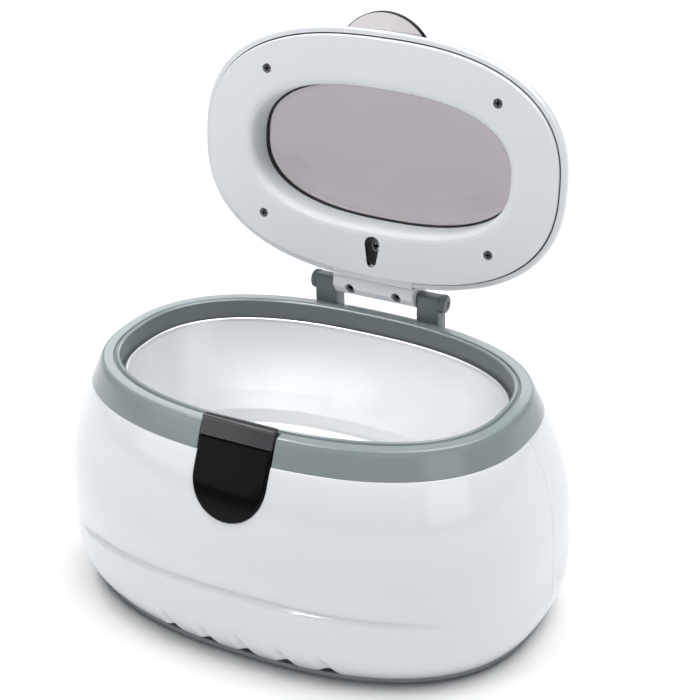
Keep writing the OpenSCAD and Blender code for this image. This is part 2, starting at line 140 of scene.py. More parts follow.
def make_stage():
    world = bpy.data.worlds.new("studio")
    world.use_nodes = True
    sky = world.node_tree.nodes["Background"]
    sky.inputs["Color"].default_value = (0.93, 0.965, 1.0, 1)
    sky.inputs["Strength"].default_value = 0.205
    bpy.context.scene.world = world
    bpy.context.scene.view_settings.view_transform = "Standard"
    key = bpy.data.lights.new("overhead", "SUN")
    key.energy = SUN_ENERGY
    key.angle = math.radians(SUN_ANGLE)
    lamp = bpy.data.objects.new("overhead", key)
    lamp.rotation_euler = Vector(SUN_DIRECTION).to_track_quat("Z", "Y").to_euler()
    bpy.context.collection.objects.link(lamp)
    softbox("strip", (-0.33, -0.16, 1.0), (0, 0, 0.04), (0.80, 0.16), 5.0)
    softbox("rear", (-0.65, 1.4, 0.8), (0, 0, 0.1), (1.8, 0.6), 6.5)
    softbox("front_left", (-0.95, -1.15, 0.55), (0, 0, 0.1), (0.9, 0.7), 1.7)
    softbox("front_right", (1.25, -0.75, 0.5), (0, 0, 0.1), (0.8, 0.6), 1.5)
    mesh = bpy.data.meshes.new("floor")
    side = FLOOR_REACH
    corners = [(-side, -side, 0), (side, -side, 0), (side, side, 0), (-side, side, 0)]
    mesh.from_pydata(corners, [], [(0, 1, 2, 3)])
    floor = bpy.data.objects.new("floor", mesh)
    floor.data.materials.append(paint("floor_white", (0.90, 0.90, 0.90), 0.6, size=0.2))
    bpy.context.collection.objects.link(floor)


# ---- materials ----


class Nodes:
    """One material's node tree, with short calls for the nodes used here."""

    def __init__(self, name):
        self.material = bpy.data.materials.new(name)
        self.material.use_nodes = True
        self.tree = self.material.node_tree
        self.shader = self.tree.nodes["Principled BSDF"]
        self.coords = self.tree.nodes.new("ShaderNodeTexCoord").outputs["Object"]

    def add(self, kind, **values):
        node = self.tree.nodes.new(kind)
        for key, value in values.items():
            node.inputs[key].default_value = value
        return node

    def link(self, source, target):
        self.tree.links.new(source, target)

    def noise(self, size, detail=2.0, stretch=(1, 1, 1)):
        """Noise with blobs of that size in metres, stretched along the axes."""
        scale = self.add("ShaderNodeMapping")
        scale.inputs["Scale"].default_value = [1 / (size * s) for s in stretch]
        self.link(self.coords, scale.inputs["Vector"])
        noise = self.add("ShaderNodeTexNoise", Scale=1.0, Detail=detail)
        self.link(scale.outputs["Vector"], noise.inputs["Vector"])
        return noise.outputs["Fac"]

    def spread(self, value, low, high, start=0.3, stop=0.7):
        node = self.add("ShaderNodeMapRange")
        limits = {"From Min": start, "From Max": stop, "To Min": low, "To Max": high}
        for key, number in limits.items():
            node.inputs[key].default_value = number
        self.link(value, node.inputs["Value"])
        return node.outputs["Result"]

    def blend(self, factor, first, second):
        node = self.add("ShaderNodeMix")
        node.data_type = "RGBA"
        for socket, color in ((node.inputs[6], first), (node.inputs[7], second)):
            if isinstance(color, bpy.types.NodeSocket):
                self.link(color, socket)
            else:
                socket.default_value = (*color, 1)
        self.link(factor, node.inputs[0])
        return node.outputs[2]

    def bump(self, height, depth):
        """Raises the surface by depth metres where height is 1."""
        node = self.add("ShaderNodeBump", Strength=1.0, Distance=depth)
        self.link(height, node.inputs["Height"])
        return node.outputs["Normal"]

    def finish(self, color, rough, normal=None, **sockets):
        for key, value in {"Base Color": color, "Roughness": rough, "Normal": normal}.items():
            if isinstance(value, bpy.types.NodeSocket):
                self.link(value, self.shader.inputs[key])
        for key, value in sockets.items():
            self.shader.inputs[key.replace("_", " ")].default_value = value
        return self.material


def shade(color, factor):
    return tuple(min(1.0, c * factor) for c in color)


def plastic(name, color, rough=0.22, grain=0.0012, depth=4e-6, vary=0.03, **sockets):
    """Moulded plastic: soft tone drift, orange peel, fine handling marks and uneven gloss."""
    n = Nodes(name)
    drift = n.spread(n.noise(0.06, 2), 0, 1, 0.2, 0.8)
    specks = n.spread(n.noise(0.0009, 2), 0, 1, 0.66, 0.8)
    tone = n.blend(drift, color, shade(color, 1 - vary))
    tone = n.blend(specks, tone, shade(color, 1 - 1.5 * vary))
    gloss = n.spread(n.noise(0.02, 3), rough * 0.85, rough * 1.2, 0.2, 0.8)
    return n.finish(tone, gloss, n.bump(n.noise(grain, 2), depth), **sockets)


def paint(name, color, rough=0.5, size=0.02):
    """Plain matt surface with a slow change of tone."""
    n = Nodes(name)
    tone = n.blend(n.spread(n.noise(size, 2), 0, 1), color, shade(color, 0.985))
    return n.finish(tone, n.spread(n.noise(size * 0.2, 3), rough * 0.9, rough))


def metal(name, color, rough=0.3, lines=(8, 1, 1), size=0.0005, depth=3e-6, wear=0.1, metallic=1.0):
    """Metal with fine drawn lines, cloudy polish and small darker stains."""
    n = Nodes(name)
    hairs = n.noise(size, 3, lines)
    cloud = n.noise(0.014, 4)
    tone = n.blend(n.spread(cloud, 0, 1, 0.2, 0.8), color, shade(color, 1 - wear))
    tone = n.blend(n.spread(hairs, 0, 0.5), tone, shade(color, 1 - wear))
    gloss = n.spread(cloud, rough * 0.85, rough * 1.15, 0.2, 0.8)
    return n.finish(tone, gloss, n.bump(hairs, depth), Metallic=metallic)


def rubber(name, color):
    n = Nodes(name)
    dust = n.spread(n.noise(0.004, 5), 0, 1, 0.45, 0.8)
    tone = n.blend(dust, color, tuple(c + 0.04 for c in color))
    return n.finish(tone, n.spread(dust, 0.6, 0.85), n.bump(n.noise(0.0005, 3), 2e-5))


def smoked(name, color, rough=0.04):
    """Smoked clear plastic with faint haze and hairline scratches."""
    n = Nodes(name)
    haze = n.spread(n.noise(0.02, 4), 0, 1)
    scratches = n.spread(n.noise(0.0007, 3, (14, 1, 1)), 0, 1, 0.62, 0.75)
    tone = n.blend(haze, color, shade(color, 0.97))
    gloss = n.spread(scratches, rough, rough + 0.06, 0, 1)
    normal = n.bump(n.noise(0.009, 2), 6e-6)
    return n.finish(tone, gloss, normal, Transmission_Weight=1.0, IOR=1.49)


def board(name, color, track):
    """Circuit board: solder mask over faint straight tracks."""
    n = Nodes(name)
    across = n.spread(n.noise(0.0016, 0, (10, 0.6, 1)), 0, 1, 0.5, 0.54)
    along = n.spread(n.noise(0.0016, 0, (0.6, 10, 1)), 0, 1, 0.56, 0.6)
    tone = n.blend(along, n.blend(across, color, track), track)
    return n.finish(tone, n.spread(across, 0.35, 0.28, 0, 1), n.bump(across, 3e-5))


def winding(name, color):
    """Enamelled wire wound in close turns."""
    n = Nodes(name)
    turns = n.add("ShaderNodeTexWave", Scale=500.0, Distortion=0.4)
    turns.bands_direction = "Z"
    n.link(n.coords, turns.inputs["Vector"])
    tone = n.blend(turns.outputs["Fac"], shade(color, 0.45), color)
    rough = n.spread(turns.outputs["Fac"], 0.45, 0.25, 0, 1)
    return n.finish(tone, rough, n.bump(turns.outputs["Fac"], 2e-4), Metallic=0.6)


WHITE = plastic("white_plastic", (0.79, 0.815, 0.84), 0.11, depth=2e-6, vary=0.02,
                Coat_Weight=0.4, Coat_Roughness=0.04)
LINER = plastic("liner_plastic", (0.80, 0.83, 0.85), 0.42, grain=0.0005, depth=5e-6, vary=0.015)
# Painted shade: near-black brown for the walls of the drop-shaped opening in the liner, in place of
# the shade in that recess.
RECESS_SHADE = plastic("recess_painted_shade", (0.030, 0.022, 0.020), 0.35, grain=0.0005, depth=5e-6, vary=0.2)
TRIM = plastic("trim_plastic", (0.245, 0.290, 0.300), 0.22, depth=2e-6, vary=0.03,
               Coat_Weight=0.3, Coat_Roughness=0.08)
HINGE_GREY = plastic("hinge_plastic", (0.150, 0.180, 0.190), 0.38, grain=0.0006, depth=1e-5,
                     vary=0.05)
BASE = plastic("base_plastic", (0.26, 0.28, 0.30), 0.45, grain=0.0004, depth=2e-5, vary=0.06)
# Black of the front panel and cutters; on the screws' cross slots this black is painted shade.
BLACK_AND_SLOT_SHADE = plastic("black_plastic", (0.003, 0.003, 0.0035), 0.10, depth=1e-6, vary=0.2,
                Specular_IOR_Level=0.12)
BUTTON = plastic("button_plastic", (0.060, 0.058, 0.064), 0.32, grain=0.0005, depth=8e-6, vary=0.06)
# Painted shade: a darker grey for the trim's inward-facing wall, in place of the shade inside the
# ring.
TRIM_WALL_SHADE = plastic("trim_wall_painted_shade", (0.150, 0.180, 0.190), 0.30, depth=4e-6, vary=0.04)
# Painted shade: near-black grey for the base's upstanding rim seen through the vent notches, in
# place of the shade behind the shell.
BASE_RIM_SHADE = plastic("base_rim_painted_shade", (0.060, 0.064, 0.075), 0.5, grain=0.0004, depth=2e-5,
                     vary=0.1)
SMOKED = smoked("smoked_acrylic", (0.345, 0.320, 0.340), 0.12)
TAB_FACE = smoked("tab_acrylic", (0.60, 0.57, 0.59))
TAB_EDGE = plastic("tab_edge", (0.003, 0.003, 0.003), 0.35, vary=0.2, Specular_IOR_Level=0.08)
STEEL = metal("satin_steel", (0.93, 0.935, 0.95), 0.42, (10, 10, 1), depth=2e-6, wear=0.03,
              metallic=0.75)
ZINC = metal("zinc_screw", (0.68, 0.67, 0.65), 0.28, (1, 1, 5))
DARK_SCREW = metal("dark_nickel", (0.20, 0.20, 0.205), 0.32, (1, 1, 5), wear=0.35)
RUBBER = rubber("black_rubber", (0.018, 0.018, 0.019))
SEAL = rubber("seal_rubber", (0.006, 0.006, 0.006))
SILICONE = rubber("white_silicone", (0.66, 0.66, 0.64))
INNER = {
    "piezo_bond": plastic("cured_resin", (0.50, 0.36, 0.12), 0.3, vary=0.15),
    "piezo_disc": metal("silvered_ceramic", (0.66, 0.64, 0.58), 0.5, (1, 1, 1)),
    "piezo_leads": plastic("red_insulation", (0.45, 0.03, 0.025), 0.4, vary=0.1),
    "panel_leads": plastic("yellow_insulation", (0.55, 0.40, 0.04), 0.4, vary=0.1),
    "switch_plunger": plastic("switch_black", (0.02, 0.02, 0.02), 0.5, vary=0.2),
    "tact_switch": metal("switch_frame", (0.55, 0.55, 0.55), 0.35),
    "indicator_led": plastic("lamp_blue", (0.10, 0.25, 0.70), 0.1, Transmission_Weight=0.6),
    "button_board": board("panel_board", (0.02, 0.12, 0.05), (0.04, 0.20, 0.08)),
    "main_board": board("driver_board", (0.02, 0.12, 0.05), (0.04, 0.20, 0.08)),
    "transformer_core": paint("ferrite", (0.05, 0.05, 0.055), 0.7, 0.002),
    "resonance_inductor": winding("inductor_wire", (0.60, 0.28, 0.08)),
    "transformer_coil": winding("coil_wire", (0.55, 0.33, 0.06)),
    "mains_capacitor": plastic("capacitor_sleeve", (0.03, 0.04, 0.14), 0.25, vary=0.1),
    "film_capacitors": plastic("film_case", (0.55, 0.34, 0.03), 0.35, vary=0.1),
    "heat_sink": metal("extruded_aluminium", (0.70, 0.71, 0.72), 0.35, (1, 1, 10)),
    "power_transistors": plastic("transistor_epoxy", (0.02, 0.02, 0.02), 0.5, vary=0.2),
    "mains_fuse": metal("fuse_caps", (0.75, 0.74, 0.70), 0.25, (1, 8, 1)),
    "bridge_rectifier": plastic("rectifier_epoxy", (0.02, 0.02, 0.02), 0.5, vary=0.2),
    "control_chip": plastic("chip_epoxy", (0.025, 0.025, 0.025), 0.6, vary=0.2),
    "terminal_block": plastic("terminal_green", (0.04, 0.25, 0.08), 0.35, vary=0.1),
    "tank_gasket": SILICONE,
    "board_screws": ZINC,
    "base_screws": ZINC,
    "trim_screws": ZINC,
}


# ---- mesh helpers ----


def rounded(corners, closed=True, steps=5):
    """Outline through corners (u, v, radius), each corner turned into a smooth bend."""
    out = []
    count = len(corners)
    for i, (u, v, radius) in enumerate(corners):
        here = Vector((u, v))
        if radius == 0 or (not closed and i in (0, count - 1)):
            out.append(tuple(here))
            continue
        back = Vector(corners[i - 1][:2]) - here
        ahead = Vector(corners[(i + 1) % count][:2]) - here
        half = back.angle(ahead) / 2
        cut = min(radius / math.tan(half), back.length * 0.49, ahead.length * 0.49)
        start, end = here + back.normalized() * cut, here + ahead.normalized() * cut
        for k in range(steps + 1):
            t = k / steps
            out.append(tuple((1 - t) ** 2 * start + 2 * t * (1 - t) * here + t * t * end))
    return out


def angles(count, extra=()):
    """Even turns round an oval, with some extra ones put in."""
    return sorted([2 * math.pi * i / count for i in range(count)] + list(extra))


def oval_point(angle, a, b, power):
    c, s = math.cos(angle), math.sin(angle)
    r = (abs(c / a) ** power + abs(s / b) ** power) ** (-1 / power)
    return r * c, r * s


def make(name, points, faces, material, place=None, sharp=32.0):
    """Mesh object from points in millimetres, smooth but for edges sharper than that angle."""
    mesh = bpy.data.meshes.new(name)
    move = place or Matrix.Identity(4)
    mesh.from_pydata([(move @ Vector(p)) * MM for p in points], [], faces)
    piece = bpy.data.objects.new(name, mesh)
    bpy.context.collection.objects.link(piece)
    mesh.materials.append(material)
    outward(mesh)
    smooth(mesh, sharp)
    return piece


def outward(mesh):
    form = bmesh.new()
    form.from_mesh(mesh)
    bmesh.ops.remove_doubles(form, verts=form.verts, dist=1e-7)
    bmesh.ops.recalc_face_normals(form, faces=form.faces)
    form.to_mesh(mesh)
    form.free()


def smooth(mesh, sharp=32.0):
    mesh.shade_smooth()
    mesh.set_sharp_from_angle(angle=math.radians(sharp))


def grid_faces(rows, columns, wrap_rows, wrap_columns=True):
    faces = []
    for i in range(rows if wrap_rows else rows - 1):
        k = (i + 1) % rows
        for j in range(columns if wrap_columns else columns - 1):
            q = (j + 1) % columns
            faces.append((i * columns + j, i * columns + q, k * columns + q, k * columns + j))
    return faces


def oval_skin(name, section, size, material, place=None, count=384, closed=True):
    """Skin round an oval. section holds (inset, height) pairs."""
    a, b, power = size
    turn = angles(count)
    points = []
    for inset, z in section:
        for t in turn:
            points.append((*oval_point(t, a - inset, b - inset, power), z))
    faces = grid_faces(len(section), len(turn), closed)
    if not closed:
        faces.append(tuple(range(len(turn))))
        faces.append(tuple(range(len(points) - len(turn), len(points))))
    return make(name, points, faces, material, place)


def lathe(name, section, material, place, count=64):
    """Turned piece. section holds (radius, height) pairs round the local Z axis."""
    points = []
    hollow = all(r > 0 for r, _ in section)
    for r, z in section:
        for i in range(count):
            t = 2 * math.pi * i / count
            points.append((r * math.cos(t), r * math.sin(t), z))
    faces = grid_faces(len(section), count, hollow)
    return make(name, points, faces, material, place)


def prism(name, outline, low, high, material, place=None, bevel=0.0, steps=3):
    """Outline of (y, z) pairs stretched along X from low to high, its edges rounded."""
    count = len(outline)
    points = [(x, y, z) for x in (low, high) for y, z in outline]
    faces = grid_faces(2, count, False) + [tuple(range(count)), tuple(range(count, 2 * count))]
    piece = make(name, points, faces, material, place)
    if bevel:
        soften(piece, bevel, steps)
    return piece


def repaint(piece, material, chosen):
    """Gives the faces that chosen(centre in millimetres, normal) picks a second material."""
    piece.data.materials.append(material)
    slot = len(piece.data.materials) - 1
    for face in piece.data.polygons:
        if chosen(face.center / MM, face.normal):
            face.material_index = slot


def soften(piece, width, steps=3):
    modifier = piece.modifiers.new("soften", "BEVEL")
    modifier.width = width * MM
    modifier.segments = steps
    modifier.limit_method = "ANGLE"
    modifier.angle_limit = math.radians(40)
    bake(piece)


def bake(piece):
    """Turns the piece's modifiers into its mesh."""
    bpy.context.view_layer.update()
    seen = piece.evaluated_get(bpy.context.evaluated_depsgraph_get())
    mesh = bpy.data.meshes.new_from_object(seen)
    old = piece.data
    piece.modifiers.clear()
    piece.data = mesh
    mesh.name = old.name
    bpy.data.meshes.remove(old)
    smooth(mesh)


def carve(piece, cutters, lined=False):
    """Cuts the cutters out of the piece and removes them. A lined cut has the cutters' material."""
    whole = join("cutter", cutters)
    modifier = piece.modifiers.new("carve", "BOOLEAN")
    modifier.operation = "DIFFERENCE"
    modifier.solver = "EXACT"
    modifier.object = whole
    modifier.material_mode = "TRANSFER" if lined else "INDEX"
    bake(piece)
    bpy.data.objects.remove(whole)


def join(name, pieces):
    """One object out of several, keeping each one's materials."""
    form = bmesh.new()
    materials = []
    for piece in pieces:
        start = len(form.faces)
        form.from_mesh(piece.data)
        form.faces.ensure_lookup_table()
        slots = []
        for material in piece.data.materials:
            if material not in materials:
                materials.append(material)
            slots.append(materials.index(material))
        for face in form.faces[start:]:
            face.material_index = slots[face.material_index] if slots else 0
    mesh = bpy.data.meshes.new(name)
    form.to_mesh(mesh)
    form.free()
    for material in materials:
        mesh.materials.append(material)
    for piece in pieces:
        bpy.data.objects.remove(piece)
    whole = bpy.data.objects.new(name, mesh)
    bpy.context.collection.objects.link(whole)
    smooth(mesh)
    return whole


def block(low, high, place=None):
    """Plain box between two corners, used as a cutter."""
    outline = [(low[1], low[2]), (high[1], low[2]), (high[1], high[2]), (low[1], high[2])]
    return prism("block", outline, low[0], high[0], BLACK_AND_SLOT_SHADE, place)


def drill(radius, low, high, place, count=48):
    """Plain round cutter along the local Z axis."""
    return lathe("drill", [(0, low), (radius, low), (radius, high), (0, high)], BLACK_AND_SLOT_SHADE, place, count)


def stand_for(piece, body, slot, *nodes):
    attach(piece, body)
    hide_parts(*nodes)


def at(x, y, z=0.0):
    return Matrix.Translation((x, y, z))


def along(axis):
    """Turns the local Z axis to lie along axis."""
    return Vector(axis).to_track_quat("Z", "Y").to_matrix().to_4x4()


def four(place):
    """The four places (+-x, +-y), in the order the pieces are made."""
    return [(sx * place[0], sy * place[1]) for sx in SIGNS for sy in SIGNS]


def ease(value):
    value = min(1.0, max(0.0, value))
    return value * value * (3 - 2 * value)


# ---- body ----

LEDGE_LOW, LEDGE_HIGH = 32.9, 34.9
RECESS_TOP = 51.5
RECESS_END = 90.0
RECESS_DEPTH = 2.0
VENT_X = [3.0 + 16.8 * i for i in range(-2, 3)]
VENT_SPAN = 14.0


def bulge(z):
    if z < BULGE_Z:
        return BULGE * (1 - 0.71 * ((BULGE_Z - z) / (BULGE_Z - SHELL_Z)) ** 3.4)
    return BULGE * (1 - min(1.0, (z - BULGE_Z) / (SEAM_Z - BULGE_Z)) ** 2.6)


def recess(x, z):
    """Depth of the front recess: a ledge at its foot, running out upwards and to both ends."""
    drop = 2.6 * (x / 80) ** 2
    foot, crown = LEDGE_LOW - drop, RECESS_TOP - 1.6 * drop
    rise = ease((z - foot) / (LEDGE_HIGH - LEDGE_LOW))
    fall = max(0.0, (crown - z) / (crown - foot)) ** 1.12
    ends = ease((RECESS_END - abs(x)) / 26)
    return 1.13 * RECESS_DEPTH * rise * fall * ends


def vent_flute(x, z):
    """Depth of the soft flutes above the notches, which lean to the left as they rise."""
    depth = 0.0
    up = (z - SHELL_Z) / VENT_SPAN
    if 0 <= up < 1:
        for middle in VENT_X:
            u = x - middle - 1.6 + 5.0 * up
            half = 4.2 * (1 - 0.3 * up)
            side = ease((u + half) / (1.6 * half)) * ease((half - u) / (0.4 * half))
            depth = max(depth, 1.3 * side * min(1.0, 1.7 * (1 - up)) ** 1.5)
    return depth


def vent_cutters():
    cutters = []
    for middle in VENT_X:
        outline = [(-4.9, 2), (-4.3, 4.2), (0.5, 6.7), (2.3, 6.7), (5.2, 2)]
        points = [(middle + x, y, z) for y in (-80, -52) for x, z in outline]
        faces = grid_faces(2, 5, False) + [tuple(range(5)), tuple(range(5, 10))]
        cutters.append(make("notch", points, faces, WHITE))
    return cutters


def housing_warp(x, y, z, outer):
    """Adds the recess, the flutes and the fine mould line at the two ends."""
    if y < 0:
        y += recess(x, z) + (vent_flute(x, z) if outer else 0)
    if outer and z < SEAM_Z - 1.2 and abs(y) < 0.05:
        x -= math.copysign(0.3, x)
    return x, y, z


def spaced(start, stop, step):
    count = max(1, round(abs(stop - start) / step))
    return [start + (stop - start) * i / count for i in range(count)]


def make_housing():
    """Housing skin. Its cuts need these rows: other spacings have given an empty mesh."""
    low = SHELL_Z
    outer = [(0.5, low), (0.15, low + 0.13)]
    outer += [(0, z) for z in spaced(low + 0.45, 20, 0.8) + spaced(20, 31, 1.6)]
    outer += [(0, z) for z in spaced(31, 37.5, 0.45)]
    outer += [(0, z) for z in spaced(37.5, 54, 1.0) + spaced(54, SEAM_Z - 0.5, 1.6)]
    outer += [(0, SEAM_Z - 0.5), (0.06, SEAM_Z - 0.2), (0.3, SEAM_Z)]
    ledge_z = SEAM_Z - LEDGE_DROP
    inner = [(1.8, SEAM_Z), (1.8 + bulge(ledge_z), ledge_z), (12.6 + bulge(ledge_z), ledge_z)]
    inner += [(12.6 + bulge(ledge_z - 2), ledge_z - 2)]
    heights = (82, 76, 68, 60, 52, 44, 36, 28, 22, 17, 13, 10, 7, low + 1.2, low)
    inner += [(WALL, z) for z in heights]
    extra = [side + d for side in (0, math.pi) for d in (-0.0022, 0.0022)]
    turn = angles(1080, [t % (2 * math.pi) for t in extra])
    points = []
    for rows, is_outer in ((outer, True), (inner, False)):
        for inset, z in rows:
            grow = bulge(z) - inset
            for t in turn:
                x, y = oval_point(t, SEAM_A + grow, SEAM_B + grow, BODY_POWER)
                points.append(housing_warp(x, y, z, is_outer))
    faces = grid_faces(len(outer) + len(inner), len(turn), True)
    shell = make("housing", points, faces, WHITE, sharp=40)
    carve(shell, [tongue("gap", 0.3, -90, -57, SEAM_Z + 4)] + vent_cutters())
    rear = at(0, 0, gland_low.z / 2 + gland_high.z / 2) @ along((0, 1, 0))
    bosses = []
    tube = rounded([(1.42, 3.6, 0), (1.42, 20, 0), (3.6, 22, 0.5), (3.6, 3.6, 0)], steps=3)
    for x, y in four(BASE_SCREW_AT):
        bosses.append(lathe("boss", tube, WHITE, at(x, y), 32))
    carve(shell, [drill(6.7, gland_high.y - 2.2, 80, rear)])
    shell = join("housing", [shell] + bosses)
    stand_for(shell, "cleaner", "white_shell", "housing_shell")


def tongue(name, grow, y0, y1, top):
    """U-shaped bar along Y."""
    half, middle = PANEL_W + grow, panel_bottom() + PANEL_W
    outline = [(-half, top)]
    for i in range(49):
        t = math.pi * (1 + i / 48)
        outline.append((half * math.cos(t), middle + half * math.sin(t)))
    outline.append((half, top))
    points = [(x, y, z) for y in (y0, y1) for x, z in outline]
    count = len(outline)
    faces = grid_faces(2, count, False) + [tuple(range(count)), tuple(range(count, 2 * count))]
    return make(name, points, faces, BLACK_AND_SLOT_SHADE)


def panel_bottom():
    return panel_low.z + 1.6


def make_base():
    low, high = plate_low.z, SHELL_Z
    section = rounded([(40, low, 0), (-2.9, low, 0.5), (-2.9, high, 0.25), (-0.5, high, 0.0),
                       (-0.5, high + 5.5, 0.4), (1.1, high + 5.5, 0.4), (1.1, high, 0.0),
                       (40, high, 0)], closed=False, steps=4)
    plate = oval_skin("base", section, (SEAM_A, SEAM_B, BODY_POWER), BASE, closed=False)
    holes = []
    for screw_at, foot_at in zip(four(BASE_SCREW_AT), four(FOOT_AT)):
        holes.append(drill(3.0, -1, 2.4, at(*screw_at)))
        holes.append(drill(2.0, -1, 12, at(*foot_at)))
    holes += [block((x - 1.5, -10, 0), (x + 1.5, 10, 10)) for x in range(-32, 33, 8)]
    carve(plate, holes)
    # Painted shade: the faces of the upstanding rim get the near-black grey.
    repaint(plate, BASE_RIM_SHADE, lambda centre, _: centre.z > high + 0.05)
    stand_for(plate, "cleaner", "base_grey", "base_plate")
    foot = rounded([(0, 0, 0), (6.5, 0, 0.5), (6.5, low, 0.2), (1.98, low, 0.1),
                    (1.98, low + 2, 0.3), (0, low + 2, 0)], closed=False, steps=4)
    places = {"front_left": (-1, -1), "front_right": (1, -1),
              "rear_left": (-1, 1), "rear_right": (1, 1)}
    for name, (sx, sy) in places.items():
        piece = lathe("foot_" + name, foot, RUBBER, at(sx * FOOT_AT[0], sy * FOOT_AT[1]))
        stand_for(piece, "cleaner", "rubber", "rubber_foot_" + name)


def make_trim():
    z = SEAM_Z
    corners = [(0, z, 0.2), (3.5, z + 8.1, 3), (4.5, z + 9.7, 0.7), (5.3, z + 10.0, 0.3),
               (8.6, z + 10.0, 0.5), (9.3, z + 8.9, 0.3), (9.9, z + 10.2, 0.4),
               (10.6, z + 10.5, 0.4), (11.3, z + 10, 0.5), (11.8, z + 1.3, 0.2),
               (9.4, z + 1.3, 0.1), (9.2, z + 7.6, 0.3), (6, z + 7.6, 0.8), (2.6, z, 0.2)]
    ring = oval_skin("trim", rounded(corners), (SEAM_A, SEAM_B, BODY_POWER), TRIM, count=768)
    carve(ring, [block((-PANEL_W - 0.55, -70, z - 1), (PANEL_W + 0.55, -51.5, z + 20))])
    soften(ring, 0.25, 2)
    # Painted shade: the inward-facing wall below the lip gets the darker grey.
    repaint(ring, TRIM_WALL_SHADE, lambda c, n: c.z < z + 9.6 and n.x * c.x + n.y * c.y < 0)
    posts = []
    for side in SIGNS:
        low_x, high_x = sorted((side * POST_IN, side * POST_OUT))
        arc = [(HINGE.y + 3.7 * math.cos(t), HINGE.z + 3.7 * math.sin(t))
               for t in (math.pi * i / 16 for i in range(9))]
        outline = [(55.4, 89.5), (58.4, 89.5), (60.4, 94.0)] + arc
        outline += [(53.9, HINGE.z + 3.7), (53, HINGE.z + 2.8), (53.0, 93.0)]
        posts.append(prism("post", outline, low_x, high_x, HINGE_GREY, bevel=0.35))
    ring = join("trim", [ring] + posts)
    stand_for(ring, "cleaner", "trim_grey", "trim_ring")
    pin = rounded([(0, 12.8, 0), (2, 12.8, 0.3), (2, POST_OUT, 0), (3.9, POST_OUT, 0.2),
                   (3.9, 30, 0.9), (3.0, 30.7, 0.6), (1.6, 30.7, 0.2), (1.4, 30.3, 0.2),
                   (0, 30.3, 0)], closed=False, steps=4)
    for name, side in (("left", -1), ("right", 1)):
        place = at(0, HINGE.y, HINGE.z) @ along((side, 0, 0))
        piece = lathe("pin_" + name, pin, HINGE_GREY, place)
        stand_for(piece, "cleaner", "pin_grey", "hinge_pin_" + name)


def make_tank():
    f, b = SEAM_Z - LEDGE_DROP, TANK_FLOOR_Z
    corners = [(54, b - SHEET, 0), (31, b - SHEET, 3), (24.1, b + 0.7, 6), (19.9, b + 4.6, 6),
               (17.9, b + 10, 6), (16.5, b + 18, 9), (14.8, 76, 3), (13.5, f, 0.5),
               (8.8, f, 0.1), (8.8, f + SHEET, 0.1), (12, f + SHEET, 0.6), (12.2, f + 2.5, 0.9),
               (12.7, f + 3.5, 0.6), (13.3, f + 3.8, 0.4), (13.8, f + 3.4, 0.6),
               (14.1, f + 2.4, 1.5), (15.5, 76, 6), (17.2, b + 18, 9), (18.6, b + 10, 6),
               (20.5, b + 5, 5), (24.5, b + 1.4, 5), (31, b, 3), (54, b, 0)]
    section = rounded(corners, closed=False, steps=6)
    tank = oval_skin("tank", section, (SEAM_A, SEAM_B, BODY_POWER), STEEL, closed=False)
    stand_for(tank, "cleaner", "tank_steel", "tank")


def make_gland():
    y0, y1 = gland_low.y, gland_high.y
    corners = [(3, y0, 0.2), (6.2, y0, 0.4), (6.2, y0 + 2.4, 0.4), (4.68, y0 + 2.4, 0.1),
               (4.68, y1 - 2.2, 0.1), (6.5, y1 - 2.2, 0.1), (6.5, y1, 0.7), (4.0, y1, 0.2),
               (3.0, y1 - 0.8, 0.3)]
    middle = (gland_low.z + gland_high.z) / 2
    gland = lathe("gland", rounded(corners, steps=4), RUBBER, at(0, 0, middle) @ along((0, 1, 0)))
    stand_for(gland, "cleaner", "rubber", "cord_gland")


# ---- front panel and button ----


def front(s, w):
    """Side view of the trim's front slope: s up the slope from the seam, w out of it."""
    return (-SEAM_B + s * math.sin(TILT) - w * math.cos(TILT),
            SEAM_Z + s * math.cos(TILT) + w * math.sin(TILT))


def make_panel():
    top_y, top_z = front(5.75, 0.75)
    seam_y, seam_z = front(0, 0.75)
    low_z = panel_bottom()
    middle = low_z + PANEL_W
    rim = 0.7

    def face_y(z):
        body = -(SEAM_B + bulge(z) + 0.8)
        slope = seam_y + (z - seam_z) * (top_y - seam_y) / (top_z - seam_z)
        return body + (slope - body) * ease((z - seam_z + 9) / 11)

    rows, across = 72, 48
    points, count = [], across + 1
    for i in range(rows + 1):
        z = low_z + (top_z - low_z) * (1 - math.cos(math.pi * i / rows)) / 2
        half = PANEL_W
        if z < middle:
            half = math.sqrt(max(0.0, PANEL_W**2 - (middle - z) ** 2))
        for j in range(count):
            x = -half * math.cos(math.pi * j / across)
            edge = PANEL_W - (math.hypot(x, middle - z) if z < middle else abs(x))
            edge = max(0.0, min(edge, top_z - z))
            drop = 0
            if edge < rim:
                drop = rim * (1 - math.sqrt(1 - (1 - min(1.0, edge / rim)) ** 2))
            points.append((x, face_y(z) + 0.0011 * x * x + drop, z))
    faces = grid_faces(rows + 1, count, False, False)
    loop = [i * count for i in range(rows + 1)] + [rows * count + j for j in range(1, count)]
    loop += [i * count + across for i in range(rows - 1, -1, -1)]
    back = len(points)
    for index in loop:
        x, y, z = points[index]
        points.append((x, face_y(z) + 3.6, z))
    size = len(loop)
    for k in range(size):
        q = (k + 1) % size
        faces.append((loop[k], loop[q], back + q, back + k))
    faces.append(tuple(range(back, back + size)))
    panel = make("front_panel_face", points, faces, BLACK_AND_SLOT_SHADE, sharp=50)
    stand_for(panel, "cleaner", "black_gloss", "front_panel")


